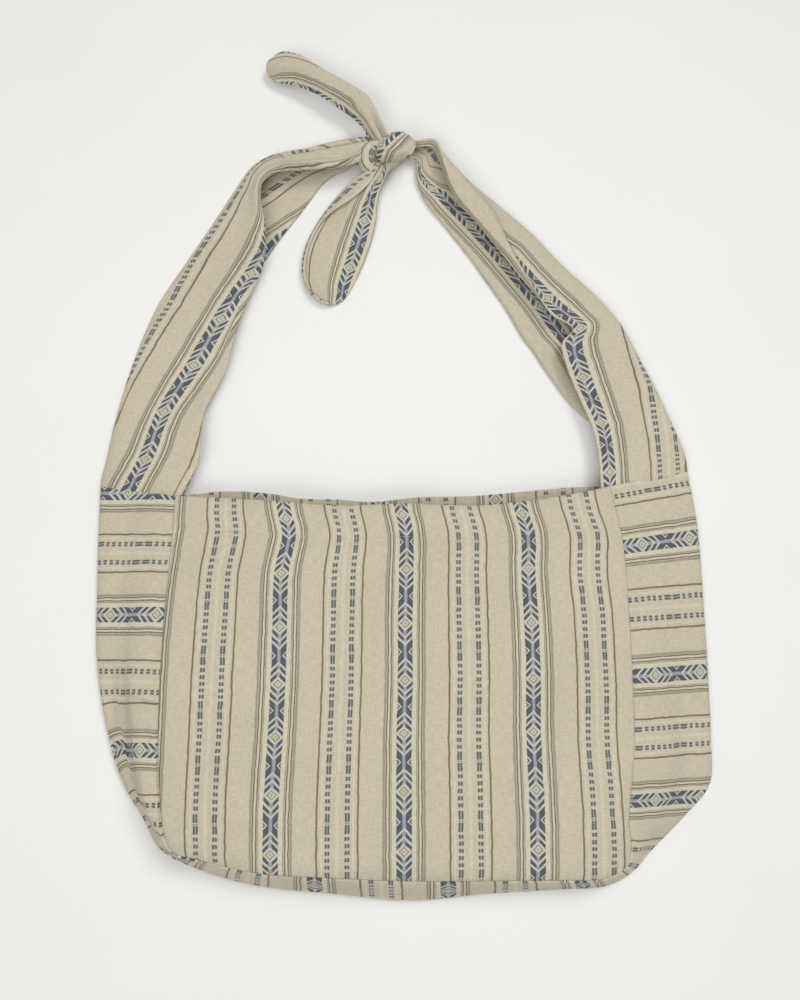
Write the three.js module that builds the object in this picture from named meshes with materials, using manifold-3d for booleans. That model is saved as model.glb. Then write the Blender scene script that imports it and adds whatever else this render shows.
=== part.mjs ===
// Cloth crossbody bag lying on its back: two panels, one folded gusset strip,
// and two wide folded straps knotted together above the mouth.
// Millimetres, +Z up from the surface it lies on, +Y from the bag towards the knot.
// The tables are measured from the middle of the mouth.
import * as THREE from "three";
import { mergeVertices } from "three/addons/utils/BufferGeometryUtils.js";
import Module from "manifold-3d";

const kernel = await Module();
kernel.setup();

const CLOTH = 1.6; // panel and gusset wall
const BAND = 1.8; // strap wall, two layers sewn and turned
const SEAM_GAP = 0.5; // between the edges that meet at a seam
const TIE_GAP = 0.4; // between the two straps inside the knot
const GUSSET_FOLD = 3.0; // radius of the fold along the gusset's outer edge
const STRAP_FOLD = 3.2; // radius of the fold along a strap's outer edge
const TURN_RADIUS = 2.4; // radius of a turned strap margin
const CROWN = 10; // rise of the front panel above its seams
const HEM = 27; // distance of the hem line below the mouth
const HEM_DIP = 1.6; // depth of the shallow trough along the hem line
const GATHER = 1.3; // height of the soft waves along the mouth
const GATHER_PITCH = 97; // spacing of those waves
const ORIGIN_Y = 39.7; // middle of the whole length, above the mouth
const PANEL_ACROSS = 22;
const PANEL_DOWN = 16;

// A table's rows as objects keyed by its column names.
function table(columns, rows) {
  return rows.map((row) => Object.fromEntries(columns.map((name, k) => [name, row[k]])));
}

// The seam round the front panel and the gusset's outer fold, from the left end of
// the mouth down, along the bottom and up to the right end. tuck is the depth of the
// pleat in the gusset's upper layer.
const AROUND = table(
  ["seamX", "seamY", "seamZ", "foldX", "foldY", "tuck"],
  [
    [-182, 1, 15, -246, 10, 0],
    [-183, -35, 18, -246, -25, 0],
    [-185, -83, 22, -245, -74, 0],
    [-186, -137, 26, -243, -126, 1],
    [-185, -190, 29, -234, -177, 4],
    [-182, -230, 30, -219, -223, 5],
    [-178, -258, 29, -201, -252, 2],
    [-171, -272, 27, -187, -275, 0],
    [-151, -278, 26, -160, -289, 0],
    [-107, -287, 28, -112, -302, 0],
    [-53, -290, 29, -54, -308, 0],
    [7, -292, 30, 8, -313, 0],
    [68, -292, 29, 70, -308, 0],
    [120, -292, 28, 126, -305, 0],
    [154, -291, 27, 162, -302, 0],
    [170, -283, 27, 181, -292, 0],
    [174, -271, 28, 197, -275, 0],
    [173, -249, 29, 223, -250, 0],
    [175, -227, 30, 243, -227, 0],
    [179, -194, 29, 246, -193, 0],
    [180, -145, 27, 246, -142, 0],
    [180, -83, 22, 245, -78, 0],
    [178, -33, 18, 243, -23, 0],
    [170, 9, 16, 237, 23, 0],
  ],
);
const LOWER_LEFT = 7; // row of AROUND at each lower corner of the panels
const LOWER_RIGHT = 15;

// Mouth edges from left to right: the front's hem edge, and the back's, which lies flat.
const FRONT_MOUTH = table(
  ["x", "y", "z"],
  [
    [-182, 1, 15],
    [-158, 0, 16],
    [-112, -3, 17],
    [-55, -7, 18],
    [7, -6, 18],
    [68, -7, 18],
    [120, -1, 17],
    [153, 5, 16],
    [170, 9, 16],
  ],
);
const BACK_MOUTH = table(
  ["x", "y"],
  [
    [-174, 4],
    [-145, 7],
    [-108, 5],
    [-83, 1],
    [-50, 0],
    [-25, -2],
    [17, 2],
    [58, 3],
    [105, 7],
    [141, 10],
    [164, 11],
  ],
);

// A strap's sections from its seam to the knot: the outer fold and its height, the
// visible inner edge of the front half (roll), the margin turned there (under is
// negative, over is positive) and the inner edge of the back half.
const STRAP_LEFT = table(
  ["foldX", "foldY", "low", "rollX", "rollY", "rollZ", "turn", "backX", "backY", "backZ"],
  [
    [-246, 11, 0, -178, 3, 15, 0, -179, 7, 1],
    [-242, 34, 0, -168, 29, 14, 0, -176, 32, 1],
    [-236, 67, 0, -165, 69, 12, 0, -169, 69, 1],
    [-222, 120, 0, -147, 111, 11, 0, -154, 118, 1],
    [-204, 167, 0, -132, 161, 11, -4, -138, 168, 1],
    [-181, 205, 0, -116, 200, 12, -9, -122, 197, 1],
    [-160, 239, 0, -115, 234, 14, -16, -102, 228, 1],
    [-141, 271, 0, -119, 257, 16, -11, -81, 257, 1],
    [-128, 290, 1, -114, 274, 17, -9, -66, 278, 2],
    [-109, 301, 2, -96, 282, 17, -9, -56, 285, 3],
    [-78, 307, 3, -73, 283, 17, -9, -47, 288, 5],
    [-52, 313, 4, -50, 285, 17, -9, -38, 292, 7],
    [-27, 316, 5, -28, 292, 18, -7, -22, 297, 8],
  ],
);
const STRAP_RIGHT = table(
  ["foldX", "foldY", "low", "rollX", "rollY", "rollZ", "turn", "backX", "backY", "backZ"],
  [
    [237, 24, 0, 166, 11, 16, 0, 172, 15, 1],
    [234, 41, 0, 165, 39, 14, 0, 172, 42, 1],
    [224, 67, 0, 161, 60, 12, 0, 163, 60, 1],
    [213, 94, 0, 153, 86, 11, 0, 144, 79, 1],
    [199, 122, 0, 144, 117, 12, 0, 123, 109, 1],
    [184, 152, 0, 144, 144, 13, 0, 106, 135, 1],
    [165, 175, 0, 130, 163, 12, 0, 91, 162, 1],
    [138, 201, 0, 110, 186, 12, 2, 75, 187, 1],
    [113, 229, 0, 91, 208, 12, 7, 58, 212, 1],
    [86, 254, 0, 68, 234, 12, 14, 41, 235, 1],
    [60, 277, 1, 46, 262, 13, 14, 26, 262, 2],
    [38, 302, 3, 33, 287, 15, 8, 19, 283, 4],
    [12, 311, 6, 12, 297, 18, 4, 8, 295, 8],
  ],
);

// The straps' free ends beyond the knot, to their rounded tips.
const TAIL_UPPER = table(
  ["nearX", "nearY", "nearZ", "farX", "farY", "farZ"],
  [
    [-14, 311, 16, -24, 306, 9],
    [-16, 322, 20, -30, 318, 6],
    [-21, 333, 24, -36, 329, 4],
    [-29, 344, 27, -44, 337, 4],
    [-47, 357, 27, -59, 348, 4],
    [-69, 372, 24, -77, 359, 4],
    [-88, 386, 20, -93, 366, 3],
    [-103, 393, 15, -106, 370, 3],
    [-112, 389, 10, -114, 377, 3],
  ],
);
const TAIL_LOWER = table(
  ["nearX", "nearY", "nearZ", "farX", "farY", "farZ"],
  [
    [-11, 287, 12, -20, 290, 12],
    [-12, 279, 12, -28, 282, 12],
    [-16, 270, 10, -40, 275, 9],
    [-19, 258, 7, -54, 261, 7],
    [-21, 240, 4, -69, 241, 5],
    [-27, 216, 2, -80, 218, 4],
    [-35, 193, 1.5, -83, 196, 3],
    [-43, 177, 1.5, -78, 179, 2],
    [-54, 169, 1.5, -67, 170, 1.5],
  ],
);
const TAIL_ARCH = 4; // how far a tail's middle stands above its edges

// The knot: a wrap of the right strap round the doubled end of the left one.
const KNOT = { x: -4, y: 301, z: 14.5, turn: -0.61 };
const WRAP = { halfLength: 18, halfHeight: 13.5, wall: 5.5, width: 20, round: 2, facets: 28 };
const CORE = { throat: 11.8, lobe: 14, halfSpan: 23, flatness: 0.64 };

function solidFrom(positions, triangles) {
  const geometry = new THREE.BufferGeometry();
  geometry.setAttribute("position", new THREE.Float32BufferAttribute(positions, 3));
  geometry.setIndex(triangles);
  return geometry;
}

// A cloth wall of even thickness about a grid of points, grid[row][column].
function wallAbout(grid, thickness) {
  const rows = grid.length;
  const columns = grid[0].length;
  const positions = [];
  const along = new THREE.Vector3();
  const across = new THREE.Vector3();
  for (const side of [1, -1]) {
    for (let j = 0; j < rows; j += 1) {
      for (let i = 0; i < columns; i += 1) {
        along.subVectors(grid[Math.min(j + 1, rows - 1)][i], grid[Math.max(j - 1, 0)][i]);
        across.subVectors(grid[j][Math.min(i + 1, columns - 1)], grid[j][Math.max(i - 1, 0)]);
        const normal = along.clone().cross(across).normalize();
        const point = grid[j][i].clone().addScaledVector(normal, (side * thickness) / 2);
        positions.push(point.x, point.y, Math.max(point.z, 0));
      }
    }
  }
  const triangles = [];
  const under = rows * columns;
  const quad = (a, b, c, d) => triangles.push(a, b, c, a, c, d);
  for (let j = 0; j + 1 < rows; j += 1) {
    for (let i = 0; i + 1 < columns; i += 1) {
      const a = j * columns + i;
      quad(a, a + columns, a + columns + 1, a + 1);
      quad(under + a, under + a + 1, under + a + columns + 1, under + a + columns);
    }
  }
  const rim = [];
  for (let i = 0; i + 1 < columns; i += 1) rim.push(i);
  for (let j = 0; j + 1 < rows; j += 1) rim.push(j * columns + columns - 1);
  for (let i = columns - 1; i > 0; i -= 1) rim.push((rows - 1) * columns + i);
  for (let j = rows - 1; j > 0; j -= 1) rim.push(j * columns);
  rim.forEach((a, k) => {
    const b = rim[(k + 1) % rim.length];
    quad(a, b, under + b, under + a);
  });
  return solidFrom(positions, triangles);
}

// Grid through sections that all have the same number of points.
function loft(sections, alongSteps, acrossSteps) {
  const curves = sections.map((points) => new THREE.CatmullRomCurve3(points).getPoints(acrossSteps));
  const rails = [];
  for (let i = 0; i <= acrossSteps; i += 1) {
    rails.push(new THREE.CatmullRomCurve3(curves.map((c) => c[i])).getPoints(alongSteps));
  }
  return rails[0].map((_, j) => rails.map((rail) => rail[j].setZ(Math.max(rail[j].z, BAND / 2))));
}

const flat = (x, y, z) => new THREE.Vector3(x, y, z);

// Front panel: four edges blended, raised in the middle, dipped along the hem.
const seamCurve = new THREE.CatmullRomCurve3(AROUND.map((r) => flat(r.seamX, r.seamY, r.seamZ)));
const mouthCurve = new THREE.CatmullRomCurve3(FRONT_MOUTH.map((r) => flat(r.x, r.y, r.z)));
const lastRow = AROUND.length - 1;
const seamStations = [];
for (let j = 0; j < PANEL_DOWN; j += 1) seamStations.push((LOWER_LEFT * j) / PANEL_DOWN);
for (let i = 0; i < PANEL_ACROSS; i += 1) {
  seamStations.push(LOWER_LEFT + ((LOWER_RIGHT - LOWER_LEFT) * i) / PANEL_ACROSS);
}
for (let j = 0; j <= PANEL_DOWN; j += 1) {
  seamStations.push(LOWER_RIGHT + ((lastRow - LOWER_RIGHT) * j) / PANEL_DOWN);
}

function frontPoint(s, t) {
  const left = seamCurve.getPoint((LOWER_LEFT * t) / lastRow);
  const right = seamCurve.getPoint((lastRow - (lastRow - LOWER_RIGHT) * t) / lastRow);
  const top = mouthCurve.getPoint(s);
  const bottom = seamCurve.getPoint((LOWER_LEFT + (LOWER_RIGHT - LOWER_LEFT) * s) / lastRow);
  const corners = [seamCurve.getPoint(0), seamCurve.getPoint(1)];
  corners.push(seamCurve.getPoint(LOWER_LEFT / lastRow), seamCurve.getPoint(LOWER_RIGHT / lastRow));
  const point = left.multiplyScalar(1 - s).addScaledVector(right, s);
  point.addScaledVector(top, 1 - t).addScaledVector(bottom, t);
  point.addScaledVector(corners[0], -(1 - s) * (1 - t)).addScaledVector(corners[1], -s * (1 - t));
  point.addScaledVector(corners[2], -(1 - s) * t).addScaledVector(corners[3], -s * t);
  const below = top.y - point.y;
  const inside = 4 * s * (1 - s);
  point.z += CROWN * Math.sqrt(inside) * Math.sqrt(Math.sin(Math.PI * t));
  point.z -= HEM_DIP * inside * Math.exp(-(((below - HEM) / 9) ** 2));
  point.z += GATHER * inside * Math.exp(-below / 50) * Math.cos((2 * Math.PI * point.x) / GATHER_PITCH);
  return point;
}

function frontPanel() {
  const grid = [];
  for (let j = 0; j <= PANEL_DOWN; j += 1) {
    const row = [];
    for (let i = 0; i <= PANEL_ACROSS; i += 1) row.push(frontPoint(i / PANEL_ACROSS, j / PANEL_DOWN));
    grid.push(row);
  }
  return wallAbout(grid, CLOTH);
}

function backPanel() {
  const seam = seamStations.map((u) => seamCurve.getPoint(u / lastRow));
  const outline = seam.map((point) => new THREE.Vector2(point.x, point.y));
  for (const edge of [...BACK_MOUTH].reverse()) outline.push(new THREE.Vector2(edge.x, edge.y));
  const sheet = { depth: CLOTH, bevelEnabled: false };
  return tidied(new THREE.ExtrudeGeometry(new THREE.Shape(outline), sheet));
}

// Gusset: out from the front seam, round the outer fold and back under to the back seam.
function gussetSection(u) {
  const seam = seamCurve.getPoint(u / lastRow);
  const column = (name) => new THREE.CatmullRomCurve3(AROUND.map((r, k) => flat(k, r[name], 0)));
  const fold = flat(column("foldX").getPoint(u / lastRow).y, column("foldY").getPoint(u / lastRow).y, 0);
  const tuck = column("tuck").getPoint(u / lastRow).y;
  const out = fold.clone().sub(flat(seam.x, seam.y, 0));
  const reach = out.length();
  out.normalize();
  const low = CLOTH / 2;
  const high = low + 2 * GUSSET_FOLD;
  const at = (distance, z) => flat(seam.x + out.x * distance, seam.y + out.y * distance, z);
  const heading = seamCurve.getTangent(u / lastRow).setZ(0).normalize();
  const edge = (gap, z) => flat(seam.x + heading.y * gap, seam.y - heading.x * gap, z);
  const drop = (share) => high + (seam.z - high) * share;
  return [
    edge(SEAM_GAP, seam.z - 0.2),
    edge(SEAM_GAP + 1.5, seam.z - 0.8),
    at(reach * 0.2, drop(0.86) + tuck * 0.4),
    at(reach * 0.42, drop(0.62) + tuck),
    at(reach * 0.62, drop(0.3) - tuck * 0.6),
    at(reach - GUSSET_FOLD, high),
    at(reach, low + GUSSET_FOLD),
    at(reach - GUSSET_FOLD, low),
    at(reach * 0.4, low),
    edge(SEAM_GAP, low),
  ];
}

function gusset() {
  const sections = seamStations.map((u) => {
    const curve = new THREE.CatmullRomCurve3(gussetSection(u));
    return curve.getPoints(12).reverse();
  });
  for (const point of sections.flat()) point.z = Math.max(point.z, CLOTH / 2);
  return wallAbout(sections, CLOTH);
}

// One strap section, from the back half's edge under to the fold and over to the turned margin.
function strapSection(row) {
  const low = BAND / 2 + row.low;
  const high = low + 2 * STRAP_FOLD;
  const fold = new THREE.Vector2(row.foldX, row.foldY);
  const roll = new THREE.Vector2(row.rollX, row.rollY);
  const back = new THREE.Vector2(row.backX, row.backY);
  const toRoll = roll.clone().sub(fold);
  const toBack = back.clone().sub(fold);
  const frontReach = toRoll.length();
  const inFront = toRoll.normalize();
  const inBack = toBack.clone().normalize();
  const front = (distance, z) => flat(fold.x + inFront.x * distance, fold.y + inFront.y * distance, z);
  const side = Math.sign(row.turn);
  const margin = Math.abs(row.turn);
  const open = Math.min(margin / 6, 1) * TURN_RADIUS;
  return [
    flat(back.x, back.y, Math.max(row.backZ, BAND / 2)),
    flat((back.x + fold.x) / 2, (back.y + fold.y) / 2, (Math.max(row.backZ, BAND / 2) + low) / 2),
    flat(fold.x + inBack.x * STRAP_FOLD, fold.y + inBack.y * STRAP_FOLD, low),
    front(0, low + STRAP_FOLD),
    front(STRAP_FOLD, high),
    front(frontReach * 0.5, (high + row.rollZ) / 2 + 2),
    front(frontReach - Math.max(open, 3), row.rollZ - side * open),
    front(frontReach, row.rollZ),
    front(frontReach - (open > 0 ? open : -1.5), row.rollZ + side * open),
    front(frontReach - (open > 0 ? open + margin : -3), row.rollZ + side * open * 1.1),
  ];
}

function strapRun(rows, mirrored) {
  const grid = loft(rows.map(strapSection), 28, 16);
  return wallAbout(mirrored ? grid.map((row) => row.reverse()) : grid, BAND);
}

function tail(rows, mirrored) {
  const sections = rows.map((r) => {
    const near = flat(r.nearX, r.nearY, Math.max(r.nearZ, BAND / 2));
    const far = flat(r.farX, r.farY, Math.max(r.farZ, BAND / 2));
    const arch = TAIL_ARCH * Math.min(near.distanceTo(far) / 40, 1);
    const middle = near.clone().lerp(far, 0.5);
    return [near, middle.setZ(middle.z + arch), far];
  });
  const grid = loft(sections, 16, 5);
  return wallAbout(mirrored ? grid.map((row) => row.reverse()) : grid, BAND);
}

function tidied(geometry) {
  geometry.deleteAttribute("uv");
  geometry.deleteAttribute("normal");
  return mergeVertices(geometry, 1e-4);
}

const knotPlace = new THREE.Matrix4()
  .makeRotationZ(KNOT.turn)
  .setPosition(KNOT.x, KNOT.y, KNOT.z)
  .multiply(new THREE.Matrix4().makeRotationY(Math.PI / 2))
  .multiply(new THREE.Matrix4().makeRotationZ(Math.PI / 2));

function ellipse(halfLength, halfHeight) {
  const points = [];
  for (let k = 0; k < WRAP.facets; k += 1) {
    const angle = (2 * Math.PI * k) / WRAP.facets;
    points.push(new THREE.Vector2(halfLength * Math.cos(angle), halfHeight * Math.sin(angle)));
  }
  return points;
}

function knotWrap() {
  const outer = -WRAP.round;
  const inner = WRAP.round - WRAP.wall;
  const ring = new THREE.Shape(ellipse(WRAP.halfLength + outer, WRAP.halfHeight + outer));
  ring.holes.push(new THREE.Path(ellipse(WRAP.halfLength + inner, WRAP.halfHeight + inner)));
  const bevel = { bevelSegments: 2, bevelSize: WRAP.round, bevelThickness: WRAP.round };
  const geometry = new THREE.ExtrudeGeometry(ring, { depth: WRAP.width, ...bevel });
  geometry.translate(0, 0, -WRAP.width / 2);
  return tidied(geometry.applyMatrix4(knotPlace));
}

function knotCore() {
  const outline = [
    new THREE.Vector2(0, -CORE.halfSpan),
    new THREE.Vector2(CORE.lobe * 0.7, -CORE.halfSpan * 0.95),
    new THREE.Vector2(CORE.lobe, -CORE.halfSpan * 0.8),
    new THREE.Vector2(CORE.throat, -CORE.halfSpan * 0.6),
    new THREE.Vector2(CORE.throat, CORE.halfSpan * 0.6),
    new THREE.Vector2(CORE.lobe, CORE.halfSpan * 0.8),
    new THREE.Vector2(CORE.lobe * 0.7, CORE.halfSpan * 0.95),
    new THREE.Vector2(0, CORE.halfSpan),
  ];
  const geometry = new THREE.LatheGeometry(outline, 20);
  geometry.rotateX(Math.PI / 2);
  geometry.scale(1, CORE.flatness, 1);
  return tidied(geometry.applyMatrix4(knotPlace));
}

function toManifold(geometry) {
  const mesh = new kernel.Mesh({
    numProp: 3,
    vertProperties: new Float32Array(geometry.attributes.position.array),
    triVerts: new Uint32Array(geometry.index.array),
  });
  mesh.merge();
  return new kernel.Manifold(mesh);
}

function joined(geometries) {
  return geometries.map(toManifold).reduce((whole, next) => whole.add(next));
}

// The one largest body, as a geometry.
function largestBody(manifold) {
  const bodies = manifold.decompose();
  bodies.sort((a, b) => b.volume() - a.volume());
  const mesh = bodies[0].getMesh();
  const positions = [];
  for (let k = 0; k < mesh.vertProperties.length; k += mesh.numProp) {
    positions.push(...mesh.vertProperties.slice(k, k + 3));
  }
  return solidFrom(positions, [...mesh.triVerts]);
}

// The left strap gives way to the right one wherever they press together in the knot.
const rightBand = joined([strapRun(STRAP_RIGHT, true), knotWrap(), tail(TAIL_LOWER, true)]);
let leftBand = joined([strapRun(STRAP_LEFT, false), knotCore(), tail(TAIL_UPPER, true)]);
for (const axis of [0, 1, 2]) {
  for (const way of [-TIE_GAP, TIE_GAP]) {
    const shift = [0, 0, 0];
    shift[axis] = way;
    leftBand = leftBand.subtract(rightBand.translate(shift));
  }
}

const bag = new THREE.Group();
bag.name = "crossbody_bag";

function add(name, geometry, colour) {
  const material = new THREE.MeshStandardMaterial({ color: colour, roughness: 0.9, metalness: 0 });
  const mesh = new THREE.Mesh(geometry.translate(0, -ORIGIN_Y, 0), material);
  mesh.name = name;
  bag.add(mesh);
}

add("front_panel", frontPanel(), 0xcbc0a3);
add("back_panel", backPanel(), 0xc6bb9e);
add("gusset", gusset(), 0xc8bda0);
add("strap_left", largestBody(leftBand), 0xccc1a4);
add("strap_right", largestBody(rightBand), 0xcdc2a5);

export default bag;
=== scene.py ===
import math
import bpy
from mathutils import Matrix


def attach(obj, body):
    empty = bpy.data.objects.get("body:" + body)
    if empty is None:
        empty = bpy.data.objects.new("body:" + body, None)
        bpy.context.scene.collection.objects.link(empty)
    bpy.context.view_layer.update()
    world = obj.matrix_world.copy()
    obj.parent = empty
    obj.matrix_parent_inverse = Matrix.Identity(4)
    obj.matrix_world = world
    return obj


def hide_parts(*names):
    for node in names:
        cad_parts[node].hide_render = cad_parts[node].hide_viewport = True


bl_info = {
    "name": "Crossbody bag",
    "version": (1, 0, 0),
    "blender": (4, 5, 0),
    "location": "View3D > Sidebar > Bag",
    "description": "Striped cloth crossbody bag that lies flat with its two straps knotted",
    "category": "Object",
}

import bpy
import numpy as np

MATH, MIX, RAMP = "ShaderNodeMath", "ShaderNodeMix", "ShaderNodeValToRGB"

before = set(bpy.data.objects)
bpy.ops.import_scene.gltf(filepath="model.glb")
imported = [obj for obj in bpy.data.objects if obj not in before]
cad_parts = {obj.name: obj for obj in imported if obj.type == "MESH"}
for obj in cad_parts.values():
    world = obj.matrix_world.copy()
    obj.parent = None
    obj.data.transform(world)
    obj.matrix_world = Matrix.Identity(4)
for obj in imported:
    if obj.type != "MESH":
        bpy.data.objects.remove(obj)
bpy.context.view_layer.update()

# Every table is in millimetres from the middle of the mouth; the frame's origin lies this far above it.
MM = 1000
ORIGIN_Y = 39.7
STRIPE_REPEAT, MOTIF_REPEAT = 97.0, 42.4
# Gap at the gusset's seams; radii of the gusset's fold, of the straps' fold and of their turned edges.
SEAM_GAP, GUSSET_FOLD, STRAP_FOLD, TURN_RADIUS = 0.5, 3.0, 3.2, 2.4
UP = np.array((0, 0, 1.0))

# Seam of the front panel and the outer fold of the gusset, from the left mouth end round to the right one.
# Columns: seam x, y, z; fold x, y; how far the gusset tucks up between them.
AROUND = np.array([
    (-182, 1, 15, -246, 10, 0), (-183, -35, 18, -246, -25, 0), (-185, -83, 22, -245, -74, 0),
    (-186, -137, 26, -243, -126, 1), (-185, -190, 29, -234, -177, 4), (-182, -230, 30, -219, -223, 5),
    (-178, -258, 29, -201, -252, 2), (-171, -272, 27, -187, -275, 0), (-151, -278, 26, -160, -289, 0),
    (-107, -287, 28, -112, -302, 0), (-53, -290, 29, -54, -308, 0), (7, -292, 30, 8, -313, 0),
    (68, -292, 29, 70, -308, 0), (120, -292, 28, 126, -305, 0), (154, -291, 27, 162, -302, 0),
    (170, -283, 27, 181, -292, 0), (174, -271, 28, 197, -275, 0), (173, -249, 29, 223, -250, 0),
    (175, -227, 30, 243, -227, 0), (179, -194, 29, 246, -193, 0), (180, -145, 27, 246, -142, 0),
    (180, -83, 22, 245, -78, 0), (178, -33, 18, 243, -23, 0), (170, 9, 16, 237, 23, 0),
], float)
# Its rows at the lower corners of the panels, and its last row.
LOWER_LEFT, LOWER_RIGHT, LAST_ROW = 7, 15, len(AROUND) - 1
# The gusset between its seam and its fold: shares of the way out, of the height left and of the tuck.
GUSSET_SLOPE = ((0.2, 0.86, 0.4), (0.42, 0.62, 1), (0.62, 0.3, -0.6))

FRONT_MOUTH = np.array([
    (-182, 1, 15), (-158, 0, 16), (-112, -3, 17), (-55, -7, 18), (7, -6, 18), (68, -7, 18),
    (120, -1, 17), (153, 5, 16), (170, 9, 16),
], float)

BACK_MOUTH = np.array([
    (-174, 4), (-145, 7), (-108, 5), (-83, 1), (-50, 0), (-25, -2), (17, 2), (58, 3), (105, 7),
    (141, 10), (164, 11),
], float)

# One row per crossing of a strap, from the bag to the knot. Columns: outer fold x, y and lift; rolled
# inner edge x, y, z and how much cloth turns there (minus under, plus over); edge of the back half x, y, z;
# cloth coordinate at the fold and at the roll, and of the lining at the back edge.
STRAP_LEFT = np.array([
    (-246, 8, -1.5, -178, 0, 13, 0, -179, 4, 1, -21, 40, 40),
    (-246, 13, 0, -177.5, 5, 15, 0, -179, 9, 1, -24, 38, 40),
    (-242, 34, 0, -168, 29, 14, 0, -176, 32, 1, -29, 36, 32),
    (-236, 67, 0, -165, 69, 12, 0, -169, 69, 1, -36, 29, 24),
    (-222, 120, 0, -147, 111, 11, 0, -154, 118, 1, -45, 21, 16),
    (-204, 167, 0, -132, 161, 11, -4, -138, 168, 1, -52, 11.5, 6),
    (-181, 205, 0, -116, 200, 12, -9, -122, 197, 1, -47, 3, 3),
    (-160, 239, 0, -115, 234, 14, -12, -102, 228, 1, -47, -3, -1),
    (-141, 271, 0, -119, 257, 16, -9, -81, 257, 1, -47, -3, -13),
    (-129, 289, 1, -118, 270, 17, -7, -68, 276, 2, -46, -4, -20),
    (-120, 296, 1.5, -110, 278, 17, -7, -61, 282, 2.5, -44, -9, -22),
    (-109, 301, 2, -96, 282, 17, -9, -56, 285, 3, -43, -12, -24),
    (-97, 303.5, 2.4, -87, 282.5, 17, -9, -52, 286, 3.8, -57, -11.5, -26),
    (-78, 307, 3, -73, 283, 17, -9, -47, 288, 5, -61, -11.5, -28),
    (-52, 313, 4, -50, 285, 17, -9, -38, 292, 7, -73, -9, -32),
    (-27, 316, 5, -28, 292, 18, -7, -22, 297, 8, -106, -6, -36),
], float)

STRAP_RIGHT = np.array([
    (237.5, 20.5, -1.5, 166.5, 7, 14, 0, 172, 11, 1, -66, 5, 25),
    (237, 25.5, 0, 166, 13, 16, 0, 172, 17, 1, -66, 5, 25),
    (234, 41, 0, 165, 39, 14, 0, 172, 42, 1, -63, 5, 25),
    (224, 67, 0, 161, 60, 12, 0, 163, 60, 1, -54.5, 6, 25),
    (213, 94, 0, 150, 88, 11, 0, 144, 79, 1, -46.5, 6, 27),
    (201, 118, 0, 142, 108, 12, 0, 123, 109, 1, -41.5, 7, 31),
    (193, 136, 0, 138, 130, 13, 0, 112, 127, 1, -38, 6, 33),
    (184, 152, 0, 147, 143, 14, 0, 104, 138, 1, -33.5, 3, 31),
    (165, 175, 0, 129, 157, 13, 0, 91, 162, 1, -31, 5, 28.5),
    (138, 201, 0, 109, 180, 12, 2, 75, 187, 1, -31, 5, 25),
    (113, 229, 0, 91, 204, 12, 5, 58, 212, 1, -31, 3, 22),
    (86, 254, 0, 68, 234, 12, 14, 41, 235, 1, -31, -9, 19),
    (60, 277, 1, 46, 262, 13, 14, 21, 262, 2, -31, -13, 18),
    (38, 301, 2, 34, 294.5, 13, 4, 14, 283, 4, -31, -24, 11),
    (30.5, 311.5, 3, 29, 305.5, 12.5, 4, 14, 294, 5, -31, -26, 8),
    (8, 311, 5, 8, 304.5, 14, 3, 4, 300, 7, -31, -26, 8),
], float)

# Shares of the front half's width at the pleat's edge and at the cloth below it, and the pleat's drop.
PLEAT_AT, BELOW_PLEAT, PLEAT_DROP = 0.34, 0.6, 5
# Pleat in the front half of the left strap, row by row: depth; cloth coordinate at its edge, just above it.
LEFT_PLEAT = np.array(
    [(0, 0, 0)] * 12 + [(0.7, -52, -53), (1, -53, -54.5), (1, -62, -65), (1, -66, -91)], float)
# Cloth gathered out of sight, row by row: in the left strap's rolled edge, in the right one's lining.
LEFT_GATHER = np.array([0.0] * 7 + [5, 14, 13, 5] + [0] * 5)
RIGHT_GATHER = np.array([0.0] * 12 + [4, 30, 33, 33])

# Free ends of the straps beyond the knot. Columns: near edge x, y, z; far edge x, y, z; cloth turned over
# at the far edge; cloth coordinate at the near and far edge.
TAIL_UPPER = np.array([
    (-8, 308, 16, -23, 306, 10, 0, -24, -1.3), (-15, 323, 18, -29, 317, 11, 0, -26, -1.3),
    (-21, 336, 19, -35, 326, 12, 0, -28, -1.3), (-29, 349, 19, -43, 334, 12, 0, -29, -1.3),
    (-47, 362, 19, -58, 345, 12, 0, -30, -1.3), (-69, 375.5, 18, -76, 357, 11, 0, -34, -1.3),
    (-88, 389, 16, -92, 364.5, 9, 0, -41, -1.6), (-103, 394, 13, -106, 369, 7, 0, -43, -6),
    (-110, 391.5, 10.5, -112, 372, 6, 0, -40, -11), (-115, 388, 8.5, -116, 377.5, 5.5, 0, -36, -18),
    (-117, 385, 6.5, -117, 382, 5.5, 0, -31, -26),
], float)

TAIL_LOWER = np.array([
    (-11, 287, 12, -20, 290, 12, 3, 8, -30), (-12, 279, 12, -28, 282, 12, 8, 9, -35),
    (-16, 270, 10, -40, 275, 9, 15, 10, -39), (-19, 258, 7, -54, 261, 7, 16, 10, -40),
    (-21, 240, 4, -69, 241, 5, 3.5, 10, -41), (-27, 216, 2, -80, 218, 4, 2, 10, -41),
    (-35, 195, 1.5, -83, 197, 3, 1.5, 10, -41), (-41.5, 182, 1.5, -80, 184, 2, 1, 9, -39),
    (-46, 174.5, 1.5, -74.5, 175.5, 1.5, 0.7, 6, -34), (-52, 169.5, 1.5, -67.5, 170, 1.5, 0.5, 1, -27),
    (-58, 167.5, 1.5, -61, 167.6, 1.5, 0.3, -11, -18),
], float)

# Arrow columns of the front by height: y, then the x of the left, middle and right column.
FRONT_GRAIN = np.array([
    (-310, -97, 3, 103), (-272, -97, 3, 103), (-227, -96, 3, 102), (-185, -94, 3, 101), (-144, -93, 4, 102),
    (-99, -93, 4, 102), (-60, -93, 5, 101), (-31, -88, 5, 102), (-11, -93, 1, 97), (12, -97, -2, 94),
], float)
FRONT_DIAMONDS = (-314, -272, -228, -186, -147, -104, -62, -18, 25)
BACK_ARROW = -18
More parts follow.
